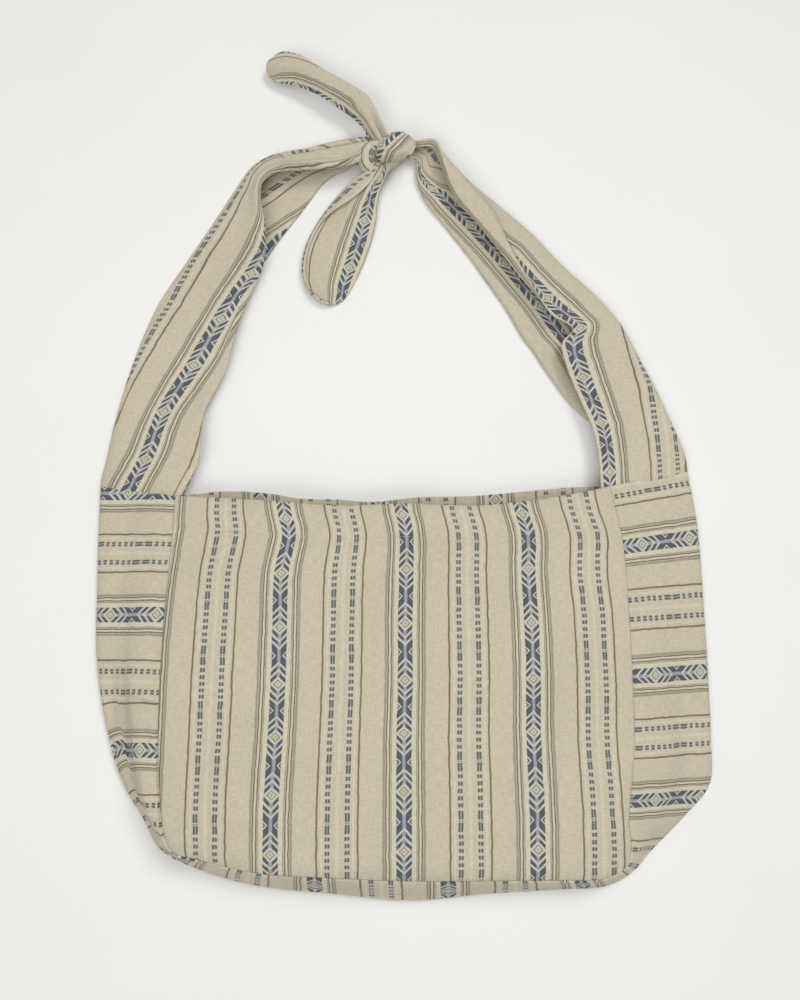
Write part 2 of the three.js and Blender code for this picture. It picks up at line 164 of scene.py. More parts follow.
# Distances along the middle of the gusset strip where an arrow column crosses it.
GUSSET_ARROWS = (-2.5, 95, 197.5, 300, 403, 505, 608, 707, 802, 907, 1008)

# Soft folds pressed into the pieces. Columns: start x, y; end x, y; height; half width.
FRONT_CREASES = np.array([
    (-176, -40, -150, -250, -1.6, 16), (174, -60, 160, -240, -1.4, 15), (-150, -262, 150, -274, -1.2, 12),
    (-60, -34, -72, -120, 0.7, 14), (52, -34, 60, -150, 0.6, 16), (-165, -262, -120, -205, 1.4, 9),
    (158, -268, 118, -214, 1.2, 9),
], float)
GUSSET_CREASES = np.array([
    (-230, -138, -227, -202, -2.5, 5), (-226, -192, -212, -246, -2.0, 5), (-214, -20, -205, -110, 1.0, 10),
    (212, -20, 216, -120, 1.0, 12), (186, -262, 232, -236, 1.6, 7), (200, -150, 236, -160, -0.9, 9),
    (-238, -60, -200, -52, -0.8, 8),
], float)
STRAP_CREASES = np.array([
    (-222, 60, -196, 150, 0.9, 9), (-186, 30, -166, 110, -0.8, 8), (-190, 160, -150, 232, 0.8, 8),
    (-150, 250, -122, 262, 1.1, 6), (128, 122, 170, 150, 1.9, 6), (138, 140, 176, 128, -1.6, 5),
    (150, 160, 118, 150, 1.4, 5), (204, 60, 182, 124, 0.8, 9), (160, 176, 96, 230, 0.6, 7),
], float)

# Knot, about its own middle: the wrap's axis is turned from +X, and the ellipse it goes round.
KNOT_AT = np.array((-4.0, 300.5, 14.5))
KNOT_TURN = -0.61
WRAP_LENGTH, WRAP_HEIGHT = 15.5, 13.5
# Band of the wrap by the angle round its axis: degrees, place of its middle along the axis, half width.
WRAP_BAND = np.array([
    (-62, -2, 7.5), (0, -0.7, 9.8), (30, 0.4, 12.3), (60, 0.9, 13.3), (90, 3, 13.8), (120, 3.7, 11.8),
    (150, 3.4, 9), (242, 2, 7),
], float)
# Rolled bands of the left strap in the knot. Columns: x, y, z, radius, flatness.
KNOT_CRESCENT = np.array([
    (-15, 306, 14, 4.5, 0.75), (-23, 303, 17, 6.0, 0.75), (-28, 296, 18, 6.8, 0.75),
    (-28, 288, 16, 6.6, 0.75), (-22, 284, 12, 6, 0.75), (-13, 287, 9, 4.5, 0.75),
], float)
KNOT_LOOP = np.array([
    (1, 295, 11, 4.2, 0.9), (-5.5, 292, 11, 4.2, 0.9), (-10.5, 288, 11, 3.8, 0.9), (-13.5, 283, 10, 3, 0.9),
    (-15, 277.5, 9, 2.4, 0.9), (-16, 273.5, 8, 1.8, 0.9),
], float)

# The photograph looks down at the middle of the mouth from 745 mm away, 8 degrees off the vertical; its
# focal length is 900 of the picture's 1000 pixels.
CAMERA_DISTANCE, CAMERA_TILT = 0.745, math.radians(8)
SENSOR, FOCAL_SHARE = 36, 0.9
# Area lamps in metres: name, place, side.
LAMPS = (("key", (3.64, 4.06, 6.44), 3.4), ("fill", (-1.9, -3.6, 4.2), 3.0), ("top", (0, 0, 1.05), 0.9))


def linear(code):
    """Linear RGB of an sRGB hex colour."""
    parts = [int(code[i:i + 2], 16) / 255 for i in (1, 3, 5)]
    return tuple(c / 12.92 if c <= 0.04045 else ((c + 0.055) / 1.055) ** 2.4 for c in parts)


def colour(name, description, code):
    return bpy.props.FloatVectorProperty(
        name=name, description=description, subtype="COLOR", size=3, min=0, max=1, default=linear(code))


def length(name, description, default):
    return bpy.props.FloatProperty(
        name=name, description=description, unit="LENGTH", precision=4, default=default, min=0.0001)


def strength(name, description, default):
    return bpy.props.FloatProperty(name=name, description=description, default=default, min=0)


class BagSettings(bpy.types.PropertyGroup):
    cloth_wall: length("Cloth", "Thickness of the bag's cloth", 0.0016)
    band_wall: length("Strap cloth", "Thickness of the strap's doubled cloth", 0.0018)
    crown: length("Crown", "How far the front stands up over its seams", 0.010)
    hem_depth: length("Hem", "Depth of the hem at the mouth", 0.027)
    stitch_spacing: length("Stitch spacing", "From one hem stitch to the next", 0.0036)
    stitch_length: length("Stitch length", "Length of one hem stitch", 0.0027)
    thread: length("Thread", "Thickness of the sewing thread", 0.0004)
    stripe_repeat: length("Stripe repeat", "From one arrow column to the next", STRIPE_REPEAT / MM)
    motif_repeat: length("Motif repeat", "From one diamond to the next along a column", MOTIF_REPEAT / MM)
    ground: colour("Ground", "Undyed ground of the cloth", "#C4BCA5")
    cream: colour("Cream", "Bleached yarn beside the arrows", "#CDC5AF")
    chalk: colour("Chalk", "Pale yarn between the blue chevrons", "#C3C0AF")
    indigo: colour("Indigo", "Blue yarn of arrows and dashes", "#555A64")
    spine: colour("Spine", "Paler blue in the middle of an arrow", "#9A9BA1")
    dark_yarn: colour("Dark yarn", "Grey-green yarn of the line groups", "#6E6959")
    brown_yarn: colour("Brown yarn", "Yarn of the thin lines", "#7B725D")


class StageSettings(bpy.types.PropertyGroup):
    floor: colour("Floor", "Pale studio floor", "#EEEDEB")
    key_power: strength("Key light", "Power of the large soft light", 286)
    fill_power: strength("Fill light", "Power of the soft light opposite", 106)
    top_power: strength("Top light", "Power of the weak light overhead", 3.8)
    sky: strength("Room light", "Strength of the even room light", 0.285)


def spline(knots, at):
    """Centripetal Catmull-Rom curve through the knots, at the given knot numbers."""
    last = len(knots) - 1
    first = np.clip(np.floor(at).astype(int), 0, last - 1)
    weight = (at - first).reshape((-1,) + (1,) * (knots.ndim - 1))
    ends = np.concatenate([[2 * knots[0] - knots[1]], knots, [2 * knots[-1] - knots[-2]]])
    a, b, c, d = (ends[first + i] for i in range(4))

    def gap(p, q):
        return np.sqrt(np.sqrt(np.sum((q - p) ** 2, axis=-1, keepdims=True)))

    mid = gap(b, c)
    mid = np.where(mid < 1e-4, 1.0, mid)
    before, after = gap(a, b), gap(c, d)
    before = np.where(before < 1e-4, mid, before)
    after = np.where(after < 1e-4, mid, after)
    start = ((b - a) / before - (c - a) / (before + mid) + (c - b) / mid) * mid
    end = ((c - b) / mid - (d - b) / (mid + after) + (d - c) / after) * mid
    bend, twist = -3 * b + 3 * c - 2 * start - end, 2 * b - 2 * c + start + end
    return b + (start + (bend + twist * weight) * weight) * weight


def steps(*counts):
    """Knot numbers with the given count of samples in each stretch."""
    return np.concatenate([i + np.arange(n) / n for i, n in enumerate(counts)] + [[len(counts)]])


def rimmed(samples, margin):
    """The samples with close neighbours at both ends, where a rim is rounded."""
    low, high = samples[0], samples[-1]
    inner = samples[(samples > low + 2 * margin) & (samples < high - 2 * margin)]
    return np.concatenate([[low, low + 0.35 * margin, low + margin], inner,
                           [high - margin, high - 0.35 * margin, high]])


def ripples(points, *waves):
    """Smooth noise over the points in plan; each wave has its height, the size of its bumps and its seed."""
    total = np.zeros(points.shape[:2])
    for height, size, seed in waves:
        rng = np.random.default_rng(seed)
        for _ in range(12):
            turn, phase = rng.uniform(0, math.tau, 2)
            pitch = size * rng.uniform(1.2, 2.6)
            run = points[..., 0] * math.cos(turn) + points[..., 1] * math.sin(turn)
            total += height / 3 * np.sin(math.tau * run / pitch + phase)
    return total


def normals(points):
    facing = np.cross(np.gradient(points, axis=0), np.gradient(points, axis=1))
    return facing / np.maximum(np.linalg.norm(facing, axis=-1, keepdims=True), 1e-9)


def creases(points, table):
    """Height of the soft folds at each point, fading out at their ends."""
    height = np.zeros(points.shape[:2])
    for x0, y0, x1, y1, rise, half in table:
        run = np.array((x1 - x0, y1 - y0))
        reach = np.linalg.norm(run)
        run = run / reach
        off = points[..., :2] - (x0, y0)
        along = off @ run
        aside = off[..., 0] * run[1] - off[..., 1] * run[0]
        fade = np.clip(along / reach, 0, 1)
        beyond = along - fade * reach
        bump = np.exp(-(aside ** 2 + beyond ** 2) / half ** 2)
        height += rise * bump * np.sin(math.pi * (0.15 + 0.7 * fade))
    return height


def lengths(points, axis):
    """Distance run along an axis of the grid, from zero at its start."""
    gaps = np.linalg.norm(np.diff(points, axis=axis), axis=-1)
    start = np.zeros_like(np.take(gaps, [0], axis=axis))
    return np.concatenate([start, np.cumsum(gaps, axis=axis)], axis=axis)


def over_grid(table, knots, along, across):
    """A table's values over a grid: its rows lie at the knots across, its columns one apart along."""
    lines = np.array([np.interp(across, knots, column) for column in table.T])
    return np.array([np.interp(along, np.arange(len(lines)), line) for line in lines.T]).T


def patch(left, right, top, bottom, across, down):
    """Points of a surface between four edge lines that meet at its corners."""
    s, t = across[:, None, None], down[None, :, None]
    return ((1 - s) * left[None] + s * right[None] + (1 - t) * top[:, None] + t * bottom[:, None]
            - (1 - s) * (1 - t) * left[0] - s * (1 - t) * right[0]
            - (1 - s) * t * left[-1] - s * t * right[-1])


def above_floor(points, wall):
    """Lifts what would lie with its underside below the floor."""
    points[..., 2] = np.maximum(points[..., 2], wall / 2)


def walls_of(shape, wall):
    """Wall thickness over a grid, thinner on the two outermost lines so that rims look rolled."""
    rim, beside_rim = 0.55, 0.9
    rows, cols = (np.ones(n) for n in shape)
    for line in (rows, cols):
        line[[0, -1]] = rim
        line[[1, -2]] = beside_rim
    return wall * np.minimum.outer(rows, cols)


def sheet_part(points, wall, outer_cloth, inner_cloth, side):
    """Vertices, faces and cloth coordinates of one sheet with both its faces and closed rims."""
    half = side * normals(points) * walls_of(points.shape[:2], wall)[..., None] / 2
    vertices = np.concatenate([(points + half).reshape(-1, 3), (points - half).reshape(-1, 3)])
    vertices[:, 2] = np.maximum(vertices[:, 2], 0)
    rows, cols = points.shape[:2]
    place = np.arange(rows * cols).reshape(rows, cols)
    quads = np.stack([place[:-1, :-1], place[1:, :-1], place[1:, 1:], place[:-1, 1:]], -1).reshape(-1, 4)
    ring = np.concatenate([place[:-1, 0], place[-1, :-1], place[:0:-1, -1], place[0, :0:-1]])
    if side < 0:
        quads, ring = quads[:, ::-1], ring[::-1]
    onward = np.roll(ring, -1)
    inner = rows * cols
    faces = np.concatenate([quads, quads[:, ::-1] + inner,
                            np.stack([onward, ring, ring + inner, onward + inner], -1)])
    outer_cloth, inner_cloth = outer_cloth.reshape(-1, 2), inner_cloth.reshape(-1, 2)
    cloth = np.concatenate([outer_cloth[quads], inner_cloth[quads[:, ::-1]],
                            outer_cloth[np.stack([onward, ring, ring, onward], -1)]])
    return vertices, faces, cloth


def roll_part(path, cloth_at):
    """A band rolled up lengthwise, as a closed round-ended roll; the cloth goes once round it."""
    turns, runs, pleats, pleat_depth = 28, 10, 5, 0.06
    line = spline(path, steps(*[runs] * (len(path) - 1)))
    count, middle = len(line), line[:, :3]
    axis = np.gradient(middle, axis=0)
    axis /= np.linalg.norm(axis, axis=1, keepdims=True)
    aside = np.cross(axis, UP)
    aside /= np.linalg.norm(aside, axis=1, keepdims=True)
    above = np.cross(aside, axis)
    turn = np.linspace(0, math.tau, turns, endpoint=False)
    from_ends = np.minimum(np.linspace(0, 9, count), np.linspace(9, 0, count))
    radius = (line[:, 3] * np.sqrt(np.clip(from_ends + 0.08, 0, 1)))[:, None]
    gather = 1 + pleat_depth * np.cos(pleats * turn + 0.7)
    ring = (middle[:, None] + (radius * np.cos(turn) * gather)[..., None] * aside[:, None]
            + (radius * np.sin(turn) * gather * line[:, 4:5])[..., None] * above[:, None])
    vertices = np.concatenate([ring.reshape(-1, 3), middle[[0, -1]]])
    vertices[:, 2] = np.maximum(vertices[:, 2], 0.2)
    place = np.arange(count * turns).reshape(count, turns)
    beside = np.roll(place, -1, axis=1)
    quads = np.stack([place[:-1], place[1:], beside[1:], beside[:-1]], -1).reshape(-1, 4)
    start, end = (np.full(turns, count * turns + i) for i in (0, 1))
    lids = [np.stack([start, place[0], beside[0], beside[0]], -1),
            np.stack([end, beside[-1], place[-1], place[-1]], -1)]
    across = cloth_at + np.arange(turns + 1) / turns * math.tau * line[:, 3].mean()
    cloth = np.stack(np.meshgrid(across, lengths(middle, 0)), -1)
    near, far = cloth[:, :-1], cloth[:, 1:]
    quad_cloth = np.stack([near[:-1], near[1:], far[1:], far[:-1]], 2).reshape(-1, 4, 2)
    lid_cloth = np.repeat(near[[0, -1]].reshape(-1, 1, 2), 4, 1)
    return vertices, np.concatenate([quads, *lids]), np.concatenate([quad_cloth, lid_cloth])


def cloth_object(name, parts, material):
    """One mesh object of the given parts, in the frame's metres, with its cloth coordinates in mm."""
    vertices, faces, cloth, first = [], [], [], 0
    for points, quads, coords in parts:
        vertices.append(points)
        faces.append(quads + first)
        cloth.append(coords)
        first += len(points)
    vertices = (np.concatenate(vertices) - (0, ORIGIN_Y, 0)) / MM
    faces, cloth = np.concatenate(faces), np.concatenate(cloth)
    mesh = bpy.data.meshes.new(name)
    triangle = faces[:, 2] == faces[:, 3]
    rings = [tuple(f[:3]) if t else tuple(f) for f, t in zip(faces.tolist(), triangle)]
    mesh.from_pydata(vertices.tolist(), [], rings)
    keep = np.ones(faces.shape, bool)
    keep[triangle, 3] = False
    mesh.uv_layers.new(name="cloth").data.foreach_set("uv", cloth[keep].astype(np.float32).ravel())
    mesh.shade_smooth()
    mesh.validate()
    mesh.materials.append(material)
    made = bpy.data.objects.new(name, mesh)
    bpy.context.collection.objects.link(made)
    return made


def add(tree, kind, inputs=None, output=0, stops=None, **settings):
    """Adds a node with its settings, links and ramp stops, and gives back one of its outputs."""
    made = tree.nodes.new(kind)
    for key, value in settings.items():
        setattr(made, key, value)
    for key, value in (inputs or {}).items():
        if isinstance(value, bpy.types.NodeSocket):
            tree.links.new(value, made.inputs[key])
        else:
            made.inputs[key].default_value = value
    if stops:
        ramp = made.color_ramp.elements
        while len(ramp) < len(stops):
            ramp.new(1.0)
        for stop, (place, tone) in zip(ramp, stops):
            stop.position = place
            stop.color = (*tone, 1)
    return None if output is None else made.outputs[output]


def bands(span, edges, tones):
    """Ramp stops with tones between the edges, each edge softened over about a third of a millimetre."""
    soft = 0.16
    stops = [(0.0, tones[0])]
    for edge, before, after in zip(edges, tones, tones[1:]):
        stops += [((edge - soft) / span, before), ((edge + soft) / span, after)]
    return stops


def new_material(name):
    """A material without nodes yet, and its tree."""
    material = bpy.data.materials.new(name)
    material.use_nodes = True
    material.node_tree.nodes.clear()
    return material, material.node_tree


def striped_cloth(settings):
    """Plain-woven cotton and linen, dyed in the yarn: matt, slubbed, with stripes woven in."""
    name = "Yarn-dyed cotton-linen plain weave"
    if name in bpy.data.materials:
        return bpy.data.materials[name]
    material, tree = new_material(name)
    # The pattern is mirrored at half a repeat, both ways.
    repeat, motif = (size * MM / 2 for size in (settings.stripe_repeat, settings.motif_repeat))
    arrow_half, arrow_span = 5.6, 27.0
    dash_cover, slub_depth, cloud_depth, base_tone = 0.94, 0.3, 0.1, 0.627
    ground, cream, indigo, chalk, dark, brown, spine = (getattr(settings, key)[:] for key in (
        "ground", "cream", "indigo", "chalk", "dark_yarn", "brown_yarn", "spine"))
    pale = tuple(0.6 * g + 0.4 * d for g, d in zip(ground, dark))
    mid = tuple(0.45 * g + 0.55 * d for g, d in zip(ground, dark))
    light = tuple(0.99 * c for c in cream)
    on, faint, thin, off = ((share,) * 3 for share in (1, 0.65, 0.45, 0))

    place = add(tree, "ShaderNodeUVMap", uv_map="cloth")
    noises = []
    # Across and along in mm: wandering yarns, slubs of both yarns, slow clouding. The real yarns lie about
    # 0.4 mm apart; their slubs are drawn 0.8 mm wide so that the weave shows.
    for across, along, seed in ((9, 9, 3.1), (0.8, 6, 0.7), (6, 0.8, 5.3), (70, 70, 9.9)):
        moved = add(tree, "ShaderNodeMapping", {0: place, 1: (seed, seed, 0), 3: (1 / across, 1 / along, 1)})
        noises.append(add(tree, "ShaderNodeTexNoise", {0: moved, "Scale": 1.0, "Detail": 2.0},
                          noise_dimensions="2D"))
    wander, warp, weft, clouds = noises

    # Yarns wander by a fraction of a millimetre, which keeps woven edges from looking printed.
    shifted = add(tree, MATH, {0: wander, 1: 1.2, 2: -0.6}, operation="MULTIPLY_ADD")
    u = add(tree, MATH, {0: add(tree, "ShaderNodeSeparateXYZ", {0: place}, 0), 1: shifted})
    v = add(tree, MATH, {0: add(tree, "ShaderNodeSeparateXYZ", {0: place}, 1), 1: shifted})
    u, v = (add(tree, MATH, {0: value, 1: half}, operation="PINGPONG")
            for value, half in ((u, repeat), (v, motif)))
    spread = add(tree, MATH, {0: add(tree, MATH, {0: u, 1: v}), 1: arrow_span}, operation="DIVIDE")
    u, v = (add(tree, MATH, {0: value, 1: half}, operation="DIVIDE")
            for value, half in ((u, repeat), (v, motif)))

    stripes = add(tree, RAMP, {0: u}, stops=bands(
        repeat, (9.0, 9.8, 10.2, 11.1, 11.6, 12.3, 12.7, 13.6, 14.0, 15.8, 32.8, 34.2, 36.2, 37.8, 47.2),
        (cream, mid, ground, dark, ground, light, ground, dark, ground, mid, ground, brown, ground, light,
         ground, light)))
    arrow = add(tree, RAMP, {0: spread}, stops=bands(
        arrow_span, (1.2, 2.9, 3.8, 6.3, 9.5, 11.7, 14.9, 17.0, 23.4, 24.6, 26.0),
        (pale, chalk, brown, chalk, indigo, chalk, indigo, chalk, indigo, chalk, indigo, chalk)))
    middle = add(tree, MATH, {
        0: add(tree, RAMP, {0: u}, stops=bands(repeat, (1.25,), (on, off))),
        1: add(tree, RAMP, {0: spread}, stops=bands(
            arrow_span, (6.3, 9.5, 11.7, 14.9, 17.0), (off, on, off, on, off, on)))}, operation="MULTIPLY")
    arrow = add(tree, MIX, {0: middle, 6: arrow, 7: (*spine, 1)}, 2, data_type="RGBA")
    inside = add(tree, RAMP, {0: u}, stops=bands(repeat, (arrow_half,), (on, off)))
    woven = add(tree, MIX, {0: inside, 6: stripes, 7: arrow}, 2, data_type="RGBA")
    dashes = add(tree, MATH, {
        0: add(tree, RAMP, {0: u}, stops=bands(repeat, (39.5, 40.9, 41.7, 43.1), (off, on, thin, on, off))),
        1: add(tree, RAMP, {0: v}, stops=bands(
            motif, (1.45, 3.7, 6.6, 8.9, 11.8, 13.9, 20.1, 20.7),
            (on, off, on, off, on, off, on, off, faint)))}, operation="MULTIPLY")
    dashes = add(tree, MATH, {0: dashes, 1: dash_cover}, operation="MULTIPLY")
    woven = add(tree, MIX, {0: dashes, 6: woven, 7: (*indigo, 1)}, 2, data_type="RGBA")

    slubs = add(tree, MATH, {0: warp, 1: weft})
    tone = add(tree, MATH, {0: slubs, 1: slub_depth, 2: base_tone}, operation="MULTIPLY_ADD")
    tone = add(tree, MATH, {0: clouds, 1: cloud_depth, 2: tone}, operation="MULTIPLY_ADD")
    woven = add(tree, MIX, {0: 1.0, 6: woven, 7: tone}, 2, data_type="RGBA", blend_type="MULTIPLY")
    bump = add(tree, "ShaderNodeBump", {"Strength": 0.45, "Distance": 0.0005, "Height": slubs})
    shader = add(tree, "ShaderNodeBsdfPrincipled", {
        "Base Color": woven, "Roughness": 0.92, "IOR": 1.5, "Specular IOR Level": 0.25, "Sheen Weight": 0.12,
        "Sheen Roughness": 0.5, "Normal": bump})
    add(tree, "ShaderNodeOutputMaterial", {0: shader}, None)
    return material


def sewing_thread(settings):
    """Mercerised cotton sewing thread: cream, twisted, a little shinier than the cloth."""
    material, tree = new_material("Twisted cotton sewing thread")
    place = add(tree, "ShaderNodeTexCoord", None, 3)
    # The real thread turns about every half millimetre; it is drawn coarser so that the twist shows.
    # At scale 1 the node's wave has 10 radians to a metre.
    turn_length = 1.96 / MM
    twist = add(tree, "ShaderNodeTexWave", {
        0: place, "Scale": math.tau / (10 * turn_length), "Distortion": 1.5}, bands_direction="DIAGONAL")
    shaded, lit = (tuple(min(share * c, 1) for c in settings.cream) for share in (0.78, 1.1))
    tone = add(tree, RAMP, {0: twist}, stops=[(0.0, shaded), (1.0, lit)])
    shader = add(tree, "ShaderNodeBsdfPrincipled", {"Base Color": tone, "Roughness": 0.7, "IOR": 1.5})
    add(tree, "ShaderNodeOutputMaterial", {0: shader}, None)
    return material


def studio_paper(settings):
    """Matt seamless background paper: almost white, with a faint fibre mottling."""
    material, tree = new_material("Matt seamless paper")
    place = add(tree, "ShaderNodeTexCoord", None, 3)
    mottle_size = 167 / MM
    mottle = add(tree, "ShaderNodeTexNoise", {0: place, "Scale": 1 / mottle_size, "Detail": 2.0})
    floor = settings.floor[:]
    tone = add(tree, RAMP, {0: mottle}, stops=[(0.3, tuple(0.985 * c for c in floor)), (0.7, floor)])
    shader = add(tree, "ShaderNodeBsdfPrincipled", {
        "Base Color": tone, "Roughness": 0.95, "Specular IOR Level": 0.1})
    add(tree, "ShaderNodeOutputMaterial", {0: shader}, None)
    return material


def seam_at(rows):
    return spline(AROUND[:, :3], rows)


def panel_seams(across, down):
    """Left, right and bottom seam of a panel, from the mouth down and from left to right."""
    return (seam_at(down * LOWER_LEFT), seam_at(LAST_ROW - down * (LAST_ROW - LOWER_RIGHT)),
            seam_at(LOWER_LEFT + across * (LOWER_RIGHT - LOWER_LEFT)))


def front_points(across, down, crown, hem):
    """The front panel between its mouth, side seams and bottom seam, crowned and gathered."""
    stitch_dip, dip_width, gather, gather_fade, hem_step = 1.6, 5, 1.3, 50, 0.5
    left, right, bottom = panel_seams(across, down)
    mouth = spline(FRONT_MOUTH, across * (len(FRONT_MOUTH) - 1))
    points = patch(left, right, mouth, bottom, across, down)
    s, t = across[:, None], down[None, :]
    inside = np.sqrt(np.clip(4 * s * (1 - s), 0, 1))
    below = mouth[:, None, 1] - points[..., 1]
    folds = np.cos(math.tau * points[..., 0] / STRIPE_REPEAT)
    points[..., 2] += inside * (crown * np.sqrt(np.sin(math.pi * t).clip(0))
                                - stitch_dip * np.exp(-((below - hem) / dip_width) ** 2)
                                + gather * np.exp(-below / gather_fade) * folds
                                + hem_step / (1 + np.exp((below - hem) / 0.8)))
    return points


def front_cloth(points):
    """Cloth coordinates of the front, from where its arrow columns and diamonds lie."""
    x, y = points[..., 0], points[..., 1]
    grain = spline(FRONT_GRAIN, steps(*[8] * (len(FRONT_GRAIN) - 1)))
    left, middle, right = (np.interp(y, grain[:, 0], grain[:, i]) for i in (1, 2, 3))
    u = (x - middle) / np.where(x < middle, middle - left, right - middle) * STRIPE_REPEAT
    # The left seam runs along a line group of the next column.
    edge = np.interp(y, (-118, -62, -25), (-184.6, -186, -188.3))
    seam = np.minimum.accumulate(points[:1, :, 0], axis=1)
    u = np.where(x < left, -STRIPE_REPEAT + (edge + STRIPE_REPEAT) * (left - x) / (left - seam), u)
    # The cloth is cut a little off its grain: the diamonds rise from left to right.
    rise = np.interp(x, (-93, 4, 102), (-0.5, 2.6, 3.5))
    v = np.interp(y - rise, FRONT_DIAMONDS, np.arange(len(FRONT_DIAMONDS)) * MOTIF_REPEAT)
    return np.stack([u, v], -1)


def gusset_points(rows, across):
    """The gusset's cross-section at each place along the seam, from the front seam round to the back one."""
    line = spline(AROUND, rows)
    seam, fold, tuck = seam_at(rows), line[:, 3:5], line[:, 5]
    slope = np.gradient(seam[:, :2], rows, axis=0)
    square = np.stack([slope[:, 1], -slope[:, 0]], -1)
    square /= np.linalg.norm(square, axis=1, keepdims=True)
    out = fold - seam[:, :2]
    square *= np.sign(np.sum(square * out, axis=1, keepdims=True))
    reach = np.linalg.norm(out, axis=1)
    away = out / reach[:, None]
    low, r = 0.8, GUSSET_FOLD
    high = low + 2 * r

    def at(distance, z):
        return np.concatenate([seam[:, :2] + away * np.broadcast_to(distance, reach.shape)[:, None],
                               np.broadcast_to(z, reach.shape)[:, None]], 1)

    def edge(distance, z):
        return np.concatenate([seam[:, :2] + square * distance, np.broadcast_to(z, reach.shape)[:, None]], 1)

    def drop(share):
        return high + (seam[:, 2] - high) * share

    knots = [edge(SEAM_GAP, seam[:, 2] - 0.6), edge(2.0, seam[:, 2] - 1.0),
             *(at(share * reach, drop(height) + tucked * tuck) for share, height, tucked in GUSSET_SLOPE),
             at(reach - r, high), at(reach, low + r), at(reach - r, low), at(0.4 * reach, low),
             edge(SEAM_GAP, low)]
    return spline(np.array(knots), across).transpose(1, 0, 2)


def strap_points(table, pleat, wall, along, across):
    """A strap's run: back half, outer fold, front half and the rolled edge, splined across then along."""
    fold, low = table[:, 0:2], wall / 2 + table[:, 2]
    roll, roll_z, turn = table[:, 3:5], table[:, 5], table[:, 6]
    back, back_z = table[:, 7:9], table[:, 9]
    high = low + 2 * STRAP_FOLD
    opened, side = np.minimum(abs(turn) / 6, 1) * TURN_RADIUS, np.sign(turn)
    margin = abs(turn)
    out = roll - fold
    reach = np.linalg.norm(out, axis=1)
    front = out / reach[:, None]
    inward = (back - fold) / np.linalg.norm(back - fold, axis=1, keepdims=True)
    turned = opened > 0
    before_roll, swell = np.minimum(np.maximum(opened, 3), 0.3 * reach), 1

    def level(xy, z):
        return np.concatenate([xy, np.broadcast_to(z, reach.shape)[:, None]], 1)

    def on_front(distance, z):
        return level(fold + front * np.broadcast_to(distance, reach.shape)[:, None], z)

    knots = [level(back, back_z), level((back + fold) / 2, np.maximum((back_z + low) / 2, wall / 2)),
             level(fold + inward * STRAP_FOLD, low), level(fold, low + STRAP_FOLD),
             on_front(np.minimum(STRAP_FOLD, 0.2 * reach), high),
             on_front(PLEAT_AT * reach, high + PLEAT_AT * (roll_z - high) + swell - PLEAT_DROP * pleat[:, 0]),
             on_front(BELOW_PLEAT * reach, high + BELOW_PLEAT * (roll_z - high) + swell),
             on_front(reach - before_roll, roll_z - side * opened), on_front(reach, roll_z),
             on_front(reach - np.where(turned, opened, -1.5), roll_z + side * opened),
             on_front(reach - np.where(turned, opened + margin, -3), roll_z + side * opened * 1.1)]
    lines = spline(np.array(knots), across)
    points = spline(lines.transpose(1, 0, 2), along)
    above_floor(points, wall)
    return points


def strap_cloth(table, pleat, at_edge, in_lining, spread, along, across, points):
    """Cloth coordinates of a strap's two faces, set by where the stripes meet its fold and its edges."""
    fold, roll, lining = table[:, 10], table[:, 11], table[:, 12]
    half = np.linalg.norm(table[:, 7:9] - table[:, 0:2], axis=1)
    turn = np.maximum(abs(table[:, 6]), 3)
    depth, edge, above = pleat.T
    inside = roll - at_edge
    upper = (1 - depth) * (fold + PLEAT_AT * (inside - fold)) + depth * edge
    lower = (1 - depth) * (fold + BELOW_PLEAT * (inside - fold)) - depth * 28
    above = (1 - depth) * (0.2 * (fold + 3) + 0.8 * upper) + depth * above
    outer = np.array([fold - half, fold - half / 2, fold - 3, fold, fold + 3, above, upper, lower,
                      inside - 2.5, roll, roll + 0.3 * turn, roll + turn])
    # The lining that turns out at the rolled edge shows a line group on the roll and plain ground beyond it.
    half = half * spread
    hidden = lining - in_lining
    inner = np.array([lining, hidden - half / 2, hidden - half + 3, hidden - half, hidden - half - 3,
                      lining - 1.25 * half, lining - 1.3 * half, lining - 1.6 * half, lining - 2 * half + 3,
                      -11 + 0 * roll, -13 - 0.3 * turn, -14 - turn])
    knots = (0, 1, 2, 3, 4, 4.8, 5, 6, 7, 8, 9, 10)
    run = lengths(points[:, points.shape[1] * 2 // 3], 0)
    v = np.broadcast_to(run[:, None], points.shape[:2])
    return [np.stack([over_grid(face, knots, along, across), v], -1) for face in (outer, inner)]


def tail_points(table, along, across, arch):
    """A free strap end: near edge, raised middle, far edge, and the cloth turned over at the far edge."""
    near, far, turn = table[:, 0:3], table[:, 3:6], table[:, 6:7]
    back = near - far
    width = np.linalg.norm(back, axis=1, keepdims=True)
    back = back / width
    share = np.minimum(turn / width, 1)
    lift = arch * np.minimum(width / 40, 1)
    edge = 1.6
    knots = [near, (near + far) / 2 + lift * UP, far + back * edge]
    if turn.any():
        knots += [far + UP * 1.7, far + back * np.minimum(edge, turn) + UP * 3.4,
                  far + back * turn + UP * (3.6 + lift * 4 * share * (1 - share))]
    else:
        knots += [far]
    return spline(spline(np.array(knots), across).transpose(1, 0, 2), along)


def tail_cloth(table, along, across, points, start):
    """Cloth coordinates of a tail's two faces; the lining shows where the far edge is turned over."""
    turn, near, far = table[:, 6:9].T
    middle, over = (near + far) / 2, np.minimum(turn / 3, 1)
    outer, inner = [near, middle, far + np.sign(near - far)], [near, middle, far + 6]
    if turn.any():
        outer += [far, far - 2, far - 6]
        inner += [far + 3 * over, far + 1.5 * over, far - 10 * over]
    else:
        outer.append(far)
        inner.append(far)
    knots = np.arange(len(outer))
    run = lengths(points[:, points.shape[1] // 3], 0)
    v = np.broadcast_to((start + run)[:, None], points.shape[:2])
    return [np.stack([over_grid(np.array(face), knots, along, across), v], -1) for face in (outer, inner)]


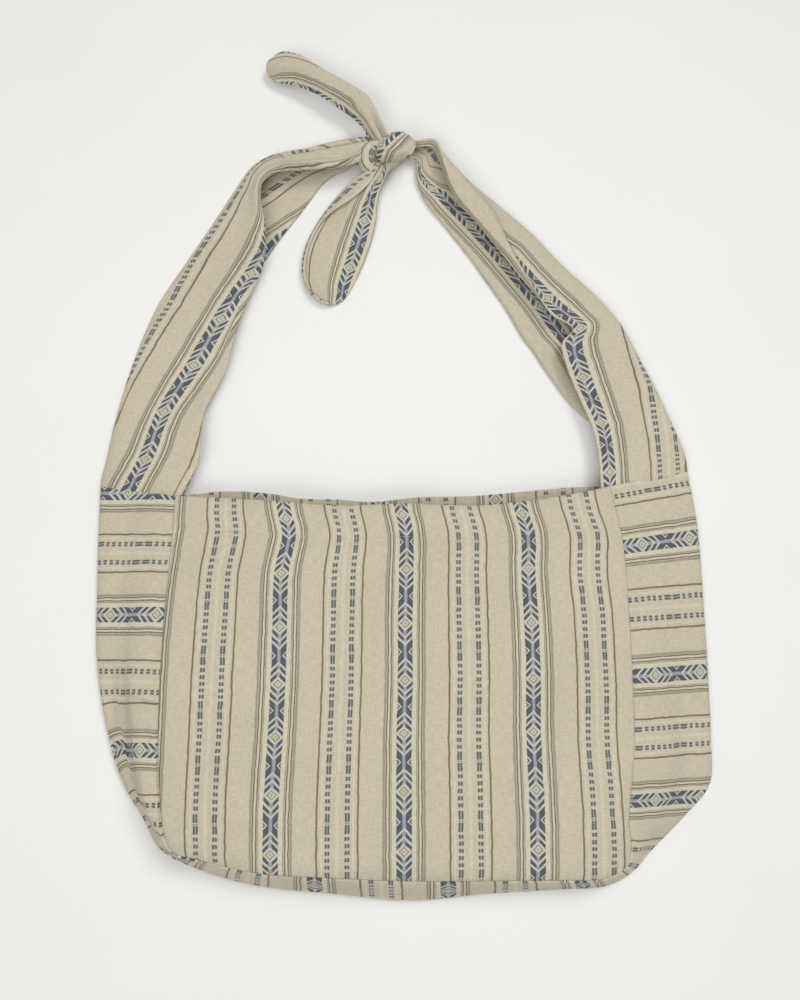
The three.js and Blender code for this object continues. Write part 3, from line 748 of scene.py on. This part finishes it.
def wrap_part(wall):
    """The right strap's turn over the knot: a gathered band round an ellipse, open underneath."""
    degrees = np.linspace(WRAP_BAND[0, 0], WRAP_BAND[-1, 0], 84)
    around = np.radians(degrees)[:, None]
    cosine, sine = np.cos(around), np.sin(around)
    place = rimmed(np.linspace(-1, 1, 27), 0.05)[None, :]
    middle, half = (np.interp(degrees, WRAP_BAND[:, 0], WRAP_BAND[:, i])[:, None] for i in (1, 2))
    x = middle + half * place
    axis = np.array((math.cos(KNOT_TURN), math.sin(KNOT_TURN), 0))
    along = np.array((math.sin(KNOT_TURN), -math.cos(KNOT_TURN), 0))
    narrowing, pleat_height, pleat_turn, squareness = 0.16, 0.9, 10.7, 0.8
    waist = 1 - narrowing * abs(place) ** 3
    gather = pleat_height * np.cos(pleat_turn * place + 0.5 * np.sin(2 * around)) * sine.clip(0)
    # Its lower end is slanted: the right side turns under much sooner than the left one.
    lower = cosine > 0
    slant = np.where(lower, np.interp(place, (-1, -0.4, 0.3, 1), (1.05, 1, 0.68, 0.24)), 1)
    length_r = WRAP_LENGTH * waist * slant + 0.6 * gather
    height_r = WRAP_HEIGHT * waist + gather
    flat_x, flat_z = (np.sign(part) * abs(part) ** squareness for part in (cosine, sine))
    flat_z = flat_z * np.where(lower & (sine < 0), np.interp(place, (-1, 0, 1), (1, 0.8, 0.35)), 1)
    points = (KNOT_AT + x[..., None] * axis + (length_r * flat_x)[..., None] * along
              + (height_r * flat_z)[..., None] * UP)
    points[..., 2] = np.maximum(points[..., 2], 1)
    u = np.broadcast_to(11.7 + 14.3 * place, points.shape[:2])
    cloth = np.stack([u, 310 + lengths(points, 0)], -1)
    return sheet_part(points, wall, cloth, cloth, -1)


def layer_part(points, lift, wall, cloth, side):
    """A second layer over part of a sheet, lifted off it along its normals, or under it by a minus lift."""
    return sheet_part(points + side * normals(points) * lift[..., None], wall, cloth, cloth, side)


def gathers(cloth, near_knot, height):
    """Lengthwise pleats that grow towards the knot."""
    pitch, sway, sway_length = 10, 1.3, 23
    return height * near_knot * np.cos(math.tau * cloth[..., 0] / pitch
                                       + sway * np.sin(cloth[..., 1] / sway_length))


def strap_run(wall, table, side, seed, start, stretch=1, spread=1, pleat=None, at_edge=0, in_lining=0):
    """A strap from the bag to the knot, and the plain band over its pleat where it has one."""
    last = len(table) - 1
    across = steps(9, 9, 6, 6, 10, 9, 12, 6, 5, 4)
    along = rimmed(np.linspace(0, last, 180), 0.02)
    if pleat is None:
        pleat = np.zeros((len(table), 3))
    points = strap_points(table, pleat, wall, along, across)
    outer, inner = strap_cloth(table, pleat, at_edge, in_lining, spread, along, across, points)
    outer[..., 1] += start[0]
    inner[..., 1] = start[1] + stretch * inner[..., 1]
    gathered_rows = 5.5
    near_knot = np.clip((along - last) / gathered_rows + 1, 0, 1)[:, None] ** 1.5
    # Creases fade in past the outer fold and fade out before the rolled edge.
    face = np.clip((across - 3.2) / 1.5, 0, 1) * np.clip((8.3 - across) / 1.2, 0, 1)
    lift = (creases(points, STRAP_CREASES) + gathers(outer, near_knot, 0.5)
            + ripples(points, (0.45, 24, seed), (0.18, 10, seed + 1)))
    points[..., 2] += lift * face + 1.2 * near_knot ** 3 * np.cos(inner[..., 0] / 1.6) * (across < 2)
    above_floor(points, wall)
    parts = [sheet_part(points, wall, outer, inner, side)]
    if pleat.any():
        # Over the pleat lies a plain band, where the front would lie without the pleat.
        first_row, top, bottom, under = 11, 5, 6.9, 1.5
        near, over = along > first_row, (across >= top) & (across <= bottom)
        depth = np.interp(along[near], np.arange(len(pleat)), pleat[:, 0])[:, None]
        cloth = outer[np.ix_(near, over)].copy()
        cloth[..., 0] = np.interp(across[over], (top, bottom), (-32, -16))
        flat = strap_points(table, 0 * pleat, wall, along, across)[np.ix_(near, over)]
        lift = depth * (np.interp(across[over], (top, 6, bottom), (1.6, 1.2, -under)) + under) - under
        parts.append(layer_part(flat, lift, wall, cloth, side))
    return parts


def upper_tail(wall):
    """The left strap's free end, with its near half folded over by the knot."""
    along = rimmed(np.linspace(0, len(TAIL_UPPER) - 1, 100), 0.03)
    across = rimmed(steps(14, 14, 4), 0.06)
    points = tail_points(TAIL_UPPER, along, across, 6.5)
    outer, inner = tail_cloth(TAIL_UPPER, along, across, points, 360)
    # Near the knot the near half is folded over the line group, up to the pale edge of the arrows.
    folded = np.clip((3.4 - along) / 0.7, 0, 1)[:, None]
    hidden = np.interp(outer[..., 0], (-40, -10, -9.2, 0), (-40, -17, -9.2, 0))
    hollow = np.clip((2.8 - along) / 2, 0, 1)[:, None] * np.exp(-((across - 0.6) / 0.3) ** 2)
    points[..., 2] += 2.2 * folded * np.clip((-8.8 - outer[..., 0]) / 1.2, 0, 1) - 4 * hollow
    outer[..., 0] += folded * (hidden - outer[..., 0])
    neck = np.clip(1 - along / 4, 0, 1)[:, None]
    points[..., 2] += ripples(points, (0.35, 18, 61)) + gathers(outer, neck, 0.8)
    above_floor(points, wall)
    return sheet_part(points, wall, outer, inner, 1)


def lower_tail(wall):
    """The right strap's free end, with its far edge turned over."""
    along = rimmed(np.linspace(0, len(TAIL_LOWER) - 1, 100), 0.03)
    across = rimmed(steps(16, 16, 4, 4, 10), 0.06)
    points = tail_points(TAIL_LOWER, along, across, 4)
    outer, inner = tail_cloth(TAIL_LOWER, along, across, points, 367)
    neck = np.clip(1 - along / 4.5, 0, 1)[:, None]
    lift = ripples(points, (0.5, 22, 71)) + gathers(outer, neck, 1.5)
    points[..., 2] += lift * np.clip((2.4 - across) / 0.5, 0.25, 1)
    above_floor(points, wall)
    return sheet_part(points, wall, outer, inner, -1)


def dress(piece, node):
    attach(piece, "root")
    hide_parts(node)


class BAG_OT_back_panel(bpy.types.Operator):
    """Makes the back panel, which lies on the floor"""
    bl_idname = "bag.back_panel"
    bl_label = "Back panel"

    def execute(self, context):
        settings = context.scene.bag_settings
        across, down = (rimmed(np.linspace(0, 1, n), 0.004) for n in (80, 60))
        left, right, bottom = (seam[:, :2] for seam in panel_seams(across, down))
        mouth = spline(BACK_MOUTH, across * (len(BACK_MOUTH) - 1))
        to_mouth = (1 - down[:, None]) ** 3
        left = left + (mouth[0] - left[0]) * to_mouth
        right = right + (mouth[-1] - right[0]) * to_mouth
        plan = patch(left, right, mouth, bottom, across, down)
        wall = settings.cloth_wall * MM
        lip, lip_fade = 0.9, 14
        rise = lip * np.exp(-down * lip_fade)[None, :] * (1 + ripples(plan, (0.8, 60, 21)))
        points = np.concatenate([plan, (wall / 2 + rise)[..., None]], -1)
        cloth = np.stack([plan[..., 0] - BACK_ARROW, plan[..., 1]], -1)
        part = sheet_part(points, wall, cloth, cloth, 1)
        piece = cloth_object("back_panel_cloth", [part], striped_cloth(settings))
        dress(piece, "back_panel")
        return {"FINISHED"}


class BAG_OT_gusset(bpy.types.Operator):
    """Makes the gusset strip round the bag's sides and bottom"""
    bl_idname = "bag.gusset"
    bl_label = "Gusset"

    def execute(self, context):
        settings = context.scene.bag_settings
        rows = rimmed(np.linspace(0, LAST_ROW, 300), 0.02)
        across = steps(4, 8, 9, 9, 9, 5, 5, 7, 8)
        points = gusset_points(rows, across)
        wall = settings.cloth_wall * MM
        deep = lengths(points, 1)
        # Only the upper side is creased, from a little way off its seam.
        top = np.clip(deep / 6, 0, 1) * (across < 5.5)
        lift = creases(points, GUSSET_CREASES) + ripples(points, (0.5, 26, 31), (0.22, 11, 32))
        points[..., 2] += lift * top
        above_floor(points, wall)
        middle = lengths((seam_at(rows)[:, :2] + spline(AROUND[:, 3:5], rows)) / 2, 0)
        u = np.interp(middle, GUSSET_ARROWS, np.arange(len(GUSSET_ARROWS)) * STRIPE_REPEAT)
        slant = np.interp(rows, (0, 3, 4, 6, 7), (0.12, 0.16, 0.25, 0.24, 0))
        drift = np.interp(rows, (0, 2.2, 4.2, 17.8, 20.1, 21.9, 23), (3, -6, -15, -22, -19, -15, -13))
        cloth = np.stack([u[:, None] - slant[:, None] * np.minimum(deep, 70), deep + drift[:, None]], -1)
        # On the lower left the strip is pleated: its inner part lies over its outer part up to an edge.
        first, last, inner, outer, under = 3.4, 6.9, 0.6, 4.5, 0.4
        tall, wide = (rows > first) & (rows < last), (across > inner) & (across < outer)
        deepest = np.clip(np.minimum((rows - first) / 1.3, (6.8 - rows) / 0.8), 0, 1)[:, None]
        profile = np.interp(across[wide], (inner, 2.6, 3.6, outer), (-1.5, -1.0, 1.9, 4.6))
        pleat = layer_part(points[np.ix_(tall, wide)], deepest[tall] * (profile + under) - under, wall,
                           cloth[np.ix_(tall, wide)].copy(), 1)
        beyond = deep - deep[:, wide][:, -1:]
        cloth[..., 0] += np.where(across > 4.3, deepest * (3.5 - 0.45 * np.clip(beyond, 0, 12)), 0)
        part = sheet_part(points, wall, cloth, cloth, 1)
        piece = cloth_object("gusset_cloth", [part, pleat], striped_cloth(settings))
        dress(piece, "gusset")
        return {"FINISHED"}


class BAG_OT_front_panel(bpy.types.Operator):
    """Makes the front panel with its hem at the mouth"""
    bl_idname = "bag.front_panel"
    bl_label = "Front panel"

    def execute(self, context):
        settings = context.scene.bag_settings
        across, down = (rimmed(np.linspace(0, 1, n), 0.004) for n in (170, 140))
        points = front_points(across, down, settings.crown * MM, settings.hem_depth * MM)
        cloth = front_cloth(points)
        s, t = across[:, None], down[None, :]
        wide, tall = 350, 280
        to_seam = np.minimum(np.minimum(s, 1 - s) * wide, (1 - t) * tall)
        lift = creases(points, FRONT_CREASES) + ripples(points, (0.45, 42, 11), (0.16, 15, 12))
        points[..., 2] += np.clip(to_seam / 6, 0, 1) * lift - np.clip(1 - to_seam / 3, 0, 1) ** 2
        part = sheet_part(points, settings.cloth_wall * MM, cloth, cloth, -1)
        piece = cloth_object("front_panel_cloth", [part], striped_cloth(settings))
        dress(piece, "front_panel")
        return {"FINISHED"}


class BAG_OT_straps(bpy.types.Operator):
    """Makes the two straps, each with its run, its part of the knot and its free end"""
    bl_idname = "bag.straps"
    bl_label = "Straps"

    def execute(self, context):
        settings = context.scene.bag_settings
        wall = settings.band_wall * MM
        material = striped_cloth(settings)
        left = [*strap_run(wall, STRAP_LEFT, -1, 41, (13, 0), spread=0.75, pleat=LEFT_PLEAT,
                           at_edge=LEFT_GATHER),
                roll_part(KNOT_CRESCENT, 28), roll_part(KNOT_LOOP, 18), upper_tail(wall)]
        right = [*strap_run(wall, STRAP_RIGHT, 1, 51, (-12, -15.3), stretch=0.86, in_lining=RIGHT_GATHER),
                 wrap_part(wall), lower_tail(wall)]
        left = cloth_object("strap_left_cloth", left, material)
        right = cloth_object("strap_right_cloth", right, material)
        dress(left, "strap_left")
        dress(right, "strap_right")
        return {"FINISHED"}


def stitch_tree(material):
    """Geometry Nodes that lay a row of short stitches along a line."""
    tree = bpy.data.node_groups.new("Stitches along a line", "GeometryNodeTree")
    face = tree.interface
    face.new_socket("Line", in_out="INPUT", socket_type="NodeSocketGeometry")
    for label in ("Spacing", "Stitch length", "Thread"):
        face.new_socket(label, in_out="INPUT", socket_type="NodeSocketFloat")
    face.new_socket("Stitches", in_out="OUTPUT", socket_type="NodeSocketGeometry")
    inputs = add(tree, "NodeGroupInput").node.outputs
    curve = add(tree, "GeometryNodeMeshToCurve", {0: inputs["Line"]})
    even = add(tree, "GeometryNodeResampleCurve", {"Curve": curve, "Length": inputs["Spacing"]},
               mode="LENGTH")
    ball = add(tree, "GeometryNodeMeshUVSphere", {"Segments": 8, "Rings": 5, "Radius": 0.5})
    tangent = add(tree, "GeometryNodeInputTangent")
    turned = add(tree, "FunctionNodeAlignRotationToVector", {"Vector": tangent}, axis="X")
    size = add(tree, "ShaderNodeCombineXYZ",
               {0: inputs["Stitch length"], 1: inputs["Thread"], 2: inputs["Thread"]})
    laid = add(tree, "GeometryNodeInstanceOnPoints", {
        "Points": even, "Instance": ball, "Rotation": turned, "Scale": size})
    real = add(tree, "GeometryNodeRealizeInstances", {0: laid})
    smooth = add(tree, "GeometryNodeSetShadeSmooth", {0: real})
    thread = add(tree, "GeometryNodeSetMaterial", {"Geometry": smooth, "Material": material})
    add(tree, "NodeGroupOutput", {0: thread}, None)
    return tree


class BAG_OT_hem_stitches(bpy.types.Operator):
    """Sews the row of stitches along the hem of the front panel"""
    bl_idname = "bag.hem_stitches"
    bl_label = "Hem stitches"

    def execute(self, context):
        settings = context.scene.bag_settings
        front = bpy.data.objects["front_panel_cloth"].data
        places = np.array([v.co[:] for v in front.vertices])
        left_end, right_end, places_along = -0.176, 0.164, 120
        xs = np.linspace(left_end, right_end, places_along)
        mouth = spline(FRONT_MOUTH, np.linspace(0, len(FRONT_MOUTH) - 1, 200))
        ys = np.interp(xs * MM, mouth[:, 0], mouth[:, 1] - ORIGIN_Y) / MM - settings.hem_depth
        line = []
        for x, y in zip(xs, ys):
            close = places[np.argsort((places[:, 0] - x) ** 2 + (places[:, 1] - y) ** 2)[:6]]
            line.append((x, y, close[:, 2].max()))
        line = np.array(line)
        line[1:-1, 2] = (line[:-2, 2] + line[1:-1, 2] + line[2:, 2]) / 3
        mesh = bpy.data.meshes.new("hem_line")
        mesh.from_pydata(line.tolist(), [(i, i + 1) for i in range(len(line) - 1)], [])
        guide = bpy.data.objects.new("hem_line", mesh)
        context.collection.objects.link(guide)
        tree = stitch_tree(sewing_thread(settings))
        modifier = guide.modifiers.new("Stitches", "NODES")
        modifier.node_group = tree
        sizes = {"Spacing": settings.stitch_spacing, "Stitch length": settings.stitch_length,
                 "Thread": settings.thread}
        for item in tree.interface.items_tree:
            if item.in_out == "INPUT" and item.name in sizes:
                modifier[item.identifier] = sizes[item.name]
        sewn = guide.evaluated_get(context.evaluated_depsgraph_get())
        stitches = bpy.data.meshes.new_from_object(sewn)
        if not stitches.vertices:
            raise RuntimeError("the hem has no stitches")
        bpy.data.objects.remove(guide)
        stitches.name = "front_hem_stitches"
        piece = bpy.data.objects.new("front_hem_stitches", stitches)
        context.collection.objects.link(piece)
        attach(piece, "root")
        return {"FINISHED"}


class BAG_OT_stage(bpy.types.Operator):
    """Lays the floor and sets the lights and the camera"""
    bl_idname = "bag.stage"
    bl_label = "Stage"

    def execute(self, context):
        settings = context.scene.stage_settings
        mesh = bpy.data.meshes.new("floor")
        reach, under = 14, -0.0004
        corners = [(x * reach, y * reach, under) for x, y in ((-1, -1), (1, -1), (1, 1), (-1, 1))]
        mesh.from_pydata(corners, [], [(0, 1, 2, 3)])
        mesh.materials.append(studio_paper(settings))
        floor = bpy.data.objects.new("floor", mesh)
        context.collection.objects.link(floor)

        for name, place, side in LAMPS:
            lamp = bpy.data.lights.new(name, "AREA")
            lamp.size = side
            lamp.energy = getattr(settings, name + "_power")
            made = bpy.data.objects.new(name, lamp)
            made.location = place
            made.rotation_euler = (-made.location).to_track_quat("-Z", "Y").to_euler()
            context.collection.objects.link(made)
        world = bpy.data.worlds.new("room")
        world.use_nodes = True
        room = world.node_tree.nodes["Background"].inputs
        room["Color"].default_value = (1, 0.99, 0.975, 1)
        room["Strength"].default_value = settings.sky
        context.scene.world = world
        context.scene.view_settings.view_transform = "Standard"

        lens = bpy.data.cameras.new("camera")
        lens.sensor_width = SENSOR
        lens.lens = SENSOR * FOCAL_SHARE
        camera = bpy.data.objects.new("camera", lens)
        camera.location = (0, -ORIGIN_Y / MM - CAMERA_DISTANCE * math.sin(CAMERA_TILT),
                           CAMERA_DISTANCE * math.cos(CAMERA_TILT))
        camera.rotation_euler = (CAMERA_TILT, 0, 0)
        context.collection.objects.link(camera)
        context.scene.camera = camera
        return {"FINISHED"}


class BAG_PT_panel(bpy.types.Panel):
    bl_label = "Crossbody bag"
    bl_idname = "BAG_PT_panel"
    bl_space_type = "VIEW_3D"
    bl_region_type = "UI"
    bl_category = "Bag"

    def draw(self, context):
        for group in (context.scene.bag_settings, context.scene.stage_settings):
            for key in group.__annotations__:
                self.layout.prop(group, key)
        for operator in OPERATORS:
            self.layout.operator(operator.bl_idname)


OPERATORS = (BAG_OT_back_panel, BAG_OT_gusset, BAG_OT_front_panel, BAG_OT_straps, BAG_OT_hem_stitches,
             BAG_OT_stage)
CLASSES = (BagSettings, StageSettings, *OPERATORS, BAG_PT_panel)


def register():
    for item in CLASSES:
        bpy.utils.register_class(item)
    bpy.types.Scene.bag_settings = bpy.props.PointerProperty(type=BagSettings)
    bpy.types.Scene.stage_settings = bpy.props.PointerProperty(type=StageSettings)


def unregister():
    del bpy.types.Scene.stage_settings
    del bpy.types.Scene.bag_settings
    for item in reversed(CLASSES):
        bpy.utils.unregister_class(item)


def main():
    register()
    bpy.ops.bag.back_panel()
    bpy.ops.bag.gusset()
    bpy.ops.bag.front_panel()
    bpy.ops.bag.straps()
    bpy.ops.bag.hem_stitches()
    bpy.ops.bag.stage()


if __name__ == "__main__":
    main()
